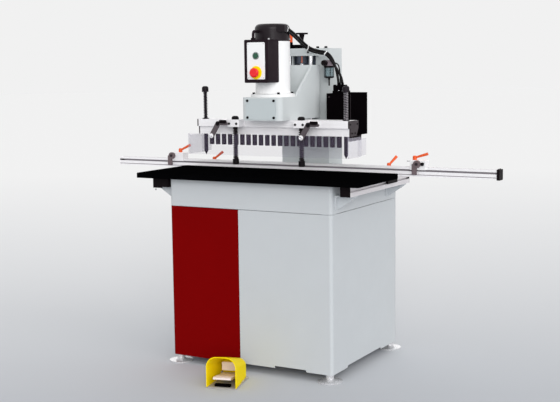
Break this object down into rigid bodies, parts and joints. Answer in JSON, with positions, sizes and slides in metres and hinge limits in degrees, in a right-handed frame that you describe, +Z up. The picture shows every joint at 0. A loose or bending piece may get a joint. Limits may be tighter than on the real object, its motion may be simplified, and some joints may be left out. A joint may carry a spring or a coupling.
{
  "type": "line boring machine",
  "caption": "Floor-standing line boring machine: a row of geared drill spindles on a sprung, guarded head that feeds down over a table with a long fence.",
  "frame": {"origin": "on the floor, under the middle of the plan outline", "axes": "+X along the spindle row to the operator's right, +Y away from the operator, +Z up"},
  "size_m": [1.94, 0.9787, 1.489],
  "materials": {
    "grey_paint": "satin paint",
    "red_paint": "satin paint",
    "chrome": "polished",
    "table_black": "satin",
    "rail_aluminium": "anodised",
    "fence_aluminium": "anodised",
    "beam_aluminium": "machined",
    "cover_grey": "satin paint",
    "block_white": "satin",
    "cylinder_aluminium": "anodised",
    "guide_steel": "ground",
    "end_dark": "satin",
    "motor_white": "gloss paint",
    "black_plastic": "fine grain",
    "chuck_black": "blackened",
    "presser_black": "blackened",
    "pin_steel": "ground",
    "clear_guard": "clear",
    "arm_grey": "satin",
    "lever_orange": "gloss",
    "finger_dark": "satin",
    "start_green": "gloss",
    "stop_red": "gloss",
    "cable_black": "matt",
    "regulator_grey": "satin",
    "pedal_yellow": "gloss paint",
    "pedal_metal": "cast"
  },
  "bodies": {
    "base": {"cabinet_frame": "grey_paint", "red_panel": "red_paint", "grey_panel": "grey_paint", "back_panel": "grey_paint", "levelling_feet": "chrome", "table_top": "table_black", "side_rails": "rail_aluminium", "rail_brackets": "grey_paint", "column": "grey_paint", "guide_rails": "guide_steel", "piston_rod": "chrome", "electrical_box": "black_plastic", "air_regulator": "regulator_grey", "head_cables": "cable_black", "pedal_base": "pedal_metal", "pedal_hood": "pedal_yellow"},
    "head": {"head_casting": "grey_paint", "gearbox_cover": "cover_grey", "head_beam": "beam_aluminium", "spindle_housing": "beam_aluminium", "end_plates": "end_dark", "feed_cylinder": "cylinder_aluminium", "motor_body": "motor_white", "fan_cowl": "black_plastic", "control_box": "black_plastic", "presser_blocks": "block_white", "spindles_left": "chuck_black", "spindles_right": "chuck_black", "index_spring_left": "pin_steel", "index_spring_right": "pin_steel", "presser_spring_left": "presser_black", "presser_spring_right": "presser_black"},
    "fence": {"fence_rail": "fence_aluminium", "fence_carriers": "black_plastic"},
    "guard": {"guard_shield": "clear_guard"},
    "rotor": {"motor_rotor": "guide_steel"},
    "stop_block_left": {"stop_block_left": "block_white"},
    "stop_block_right": {"stop_block_right": "block_white"},
    "depth_knob": {"depth_knob": "black_plastic"},
    "regulator_knob": {"regulator_knob": "black_plastic"},
    "spindle_09": {"spindle_09": "chuck_black"},
    "spindle_10": {"spindle_10": "chuck_black"},
    "spindle_11": {"spindle_11": "chuck_black"},
    "spindle_12": {"spindle_12": "chuck_black"},
    "spindle_13": {"spindle_13": "chuck_black"},
    "presser_left": {"presser_left": "presser_black"},
    "presser_right": {"presser_right": "presser_black"},
    "index_pin_left": {"index_pin_left": "pin_steel"},
    "index_pin_right": {"index_pin_right": "pin_steel"},
    "guard_arm_left": {"guard_arm_left": "arm_grey"},
    "guard_arm_right": {"guard_arm_right": "arm_grey"},
    "fence_lever_left": {"fence_lever_left": "lever_orange"},
    "fence_lever_right": {"fence_lever_right": "lever_orange"},
    "stop_lever_left": {"stop_lever_left": "lever_orange"},
    "stop_lever_right": {"stop_lever_right": "lever_orange"},
    "stop_finger_left": {"stop_finger_left": "finger_dark"},
    "stop_finger_right": {"stop_finger_right": "finger_dark"},
    "start_button": {"start_button": "start_green"},
    "emergency_button": {"emergency_button": "stop_red"},
    "pedal_tread": {"pedal_tread": "pedal_metal"}
  },
  "joints": [
    {"name": "head_feed", "type": "slide", "parent": "base", "child": "head", "axis": [0, 0, -1], "range_m": [0, 0.06]},
    {"name": "motor_spin", "type": "hinge", "parent": "head", "child": "rotor", "pos_m": [0, 0.02686, 1.3], "axis": [0, 0, 1], "continuous": true},
    {"name": "spindle_09_spin", "type": "hinge", "parent": "head", "child": "spindle_09", "pos_m": [-0.064, 0.02686, 1], "axis": [0, 0, 1], "continuous": true},
    {"name": "spindle_10_spin", "type": "hinge", "parent": "head", "child": "spindle_10", "pos_m": [-0.032, 0.02686, 1], "axis": [0, 0, 1], "continuous": true},
    {"name": "spindle_11_spin", "type": "hinge", "parent": "head", "child": "spindle_11", "pos_m": [0, 0.02686, 1], "axis": [0, 0, 1], "continuous": true},
    {"name": "spindle_12_spin", "type": "hinge", "parent": "head", "child": "spindle_12", "pos_m": [0.032, 0.02686, 1], "axis": [0, 0, 1], "continuous": true},
    {"name": "spindle_13_spin", "type": "hinge", "parent": "head", "child": "spindle_13", "pos_m": [0.064, 0.02686, 1], "axis": [0, 0, 1], "continuous": true},
    {"name": "index_pin_left_slide", "type": "slide", "parent": "head", "child": "index_pin_left", "axis": [0, 0, -1], "range_m": [0, 0.06], "stiffness_N_per_m": 300, "springref_m": -0.03, "deforming": ["index_spring_left"]},
    {"name": "presser_left_slide", "type": "slide", "parent": "head", "child": "presser_left", "axis": [0, 0, 1], "range_m": [0, 0.032], "deforming": ["presser_spring_left"]},
    {"name": "index_pin_right_slide", "type": "slide", "parent": "head", "child": "index_pin_right", "axis": [0, 0, -1], "range_m": [0, 0.06], "stiffness_N_per_m": 300, "springref_m": -0.03, "deforming": ["index_spring_right"]},
    {"name": "presser_right_slide", "type": "slide", "parent": "head", "child": "presser_right", "axis": [0, 0, 1], "range_m": [0, 0.032], "deforming": ["presser_spring_right"]},
    {"name": "guard_arm_left_swing", "type": "hinge", "parent": "head", "child": "guard_arm_left", "pos_m": [-0.233, -0.05514, 1.059], "axis": [0, 1, 0], "range_deg": [-20, 11]},
    {"name": "guard_arm_right_swing", "type": "hinge", "parent": "head", "child": "guard_arm_right", "pos_m": [0.217, -0.05514, 1.059], "axis": [0, 1, 0], "range_deg": [-20, 11]},
    {"name": "guard_level", "type": "hinge", "parent": "guard_arm_left", "child": "guard", "pos_m": [-0.2665, -0.05114, 1.005], "axis": [0, 1, 0], "range_deg": [-11, 20]},
    {"name": "fence_slide", "type": "slide", "parent": "base", "child": "fence", "axis": [0, 1, 0], "range_m": [-0.038, 0.07]},
    {"name": "stop_left_slide", "type": "slide", "parent": "fence", "child": "stop_block_left", "axis": [1, 0, 0], "range_m": [-0.25, 0.07]},
    {"name": "stop_finger_left_flip", "type": "hinge", "parent": "stop_block_left", "child": "stop_finger_left", "pos_m": [-0.647, 0.17686, 0.8875], "axis": [0, 1, 0], "range_deg": [0, 95]},
    {"name": "stop_lever_left_turn", "type": "hinge", "parent": "stop_block_left", "child": "stop_lever_left", "pos_m": [-0.616, 0.20486, 0.915], "axis": [0, 0, 1], "range_deg": [-60, 60]},
    {"name": "fence_lever_left_turn", "type": "hinge", "parent": "fence", "child": "fence_lever_left", "pos_m": [-0.452, 0.24886, 0.87], "axis": [0, 0, 1], "range_deg": [0, 90]},
    {"name": "stop_right_slide", "type": "slide", "parent": "fence", "child": "stop_block_right", "axis": [1, 0, 0], "range_m": [-0.045, 0.25]},
    {"name": "stop_finger_right_flip", "type": "hinge", "parent": "stop_block_right", "child": "stop_finger_right", "pos_m": [0.612, 0.17686, 0.8875], "axis": [0, 1, 0], "range_deg": [0, 95]},
    {"name": "stop_lever_right_turn", "type": "hinge", "parent": "stop_block_right", "child": "stop_lever_right", "pos_m": [0.591, 0.20486, 0.915], "axis": [0, 0, 1], "range_deg": [-60, 60]},
    {"name": "fence_lever_right_turn", "type": "hinge", "parent": "fence", "child": "fence_lever_right", "pos_m": [0.452, 0.24886, 0.87], "axis": [0, 0, 1], "range_deg": [-70, 60]},
    {"name": "start_button_push", "type": "slide", "parent": "head", "child": "start_button", "axis": [0, 1, 0], "range_m": [0, 0.005], "stiffness_N_per_m": 600, "springref_m": -0.003},
    {"name": "emergency_button_push", "type": "slide", "parent": "head", "child": "emergency_button", "axis": [0, 1, 0], "range_m": [0, 0.006], "stiffness_N_per_m": 1000, "springref_m": -0.004},
    {"name": "pedal_tread_press", "type": "hinge", "parent": "base", "child": "pedal_tread", "pos_m": [-0.01368, -0.33287, 0.024], "axis": [0.9686, 0.2487, 0], "range_deg": [0, 7], "stiffness_Nm_per_rad": 20, "springref_deg": -5.73},
    {"name": "depth_knob_turn", "type": "hinge", "parent": "base", "child": "depth_knob", "pos_m": [0, 0.29886, 1.44], "axis": [0, 0, 1], "continuous": true},
    {"name": "regulator_knob_turn", "type": "hinge", "parent": "base", "child": "regulator_knob", "pos_m": [0.133, 0.25986, 1.319], "axis": [0, 1, 0], "range_deg": [-135, 135]}
  ],
  "couplings": [
    {"joint": "spindle_09_spin", "follows": "motor_spin", "ratio": 1},
    {"joint": "spindle_10_spin", "follows": "motor_spin", "ratio": -1},
    {"joint": "spindle_11_spin", "follows": "motor_spin", "ratio": 1},
    {"joint": "spindle_12_spin", "follows": "motor_spin", "ratio": -1},
    {"joint": "spindle_13_spin", "follows": "motor_spin", "ratio": 1},
    {"joint": "presser_left_slide", "follows": "head_feed", "ratio": 0.53333},
    {"joint": "presser_right_slide", "follows": "head_feed", "ratio": 0.53333},
    {"joint": "guard_arm_right_swing", "follows": "guard_arm_left_swing", "ratio": 1},
    {"joint": "guard_level", "follows": "guard_arm_left_swing", "ratio": -1}
  ]
}
